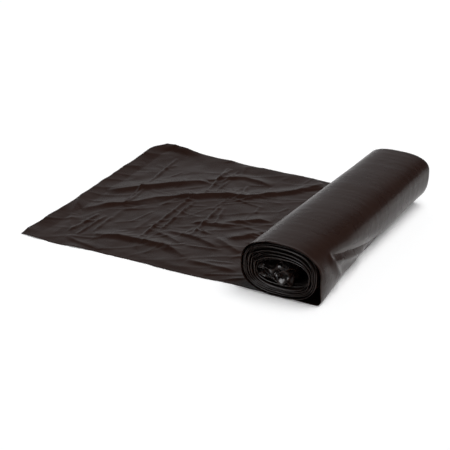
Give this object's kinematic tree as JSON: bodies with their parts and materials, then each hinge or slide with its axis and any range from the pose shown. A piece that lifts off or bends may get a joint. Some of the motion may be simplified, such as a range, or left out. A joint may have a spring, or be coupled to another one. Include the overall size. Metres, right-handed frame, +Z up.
{
  "type": "bin bag roll",
  "caption": "Coreless roll of dark bin bags, flattened by its own weight, with its outer turn loosened and its loose end drawn out flat over the floor.",
  "frame": {"origin": "on the floor, at the middle of the whole footprint of roll and loose end", "axes": "+X from the free edge towards the roll, +Y along the roll's axis away from the end that the picture shows, +Z up"},
  "size_m": [0.3786, 0.3, 0.0613],
  "materials": {
    "bag_film": "satin"
  },
  "bodies": {
    "root": {"bag_roll": "bag_film"}
  },
  "joints": []
}
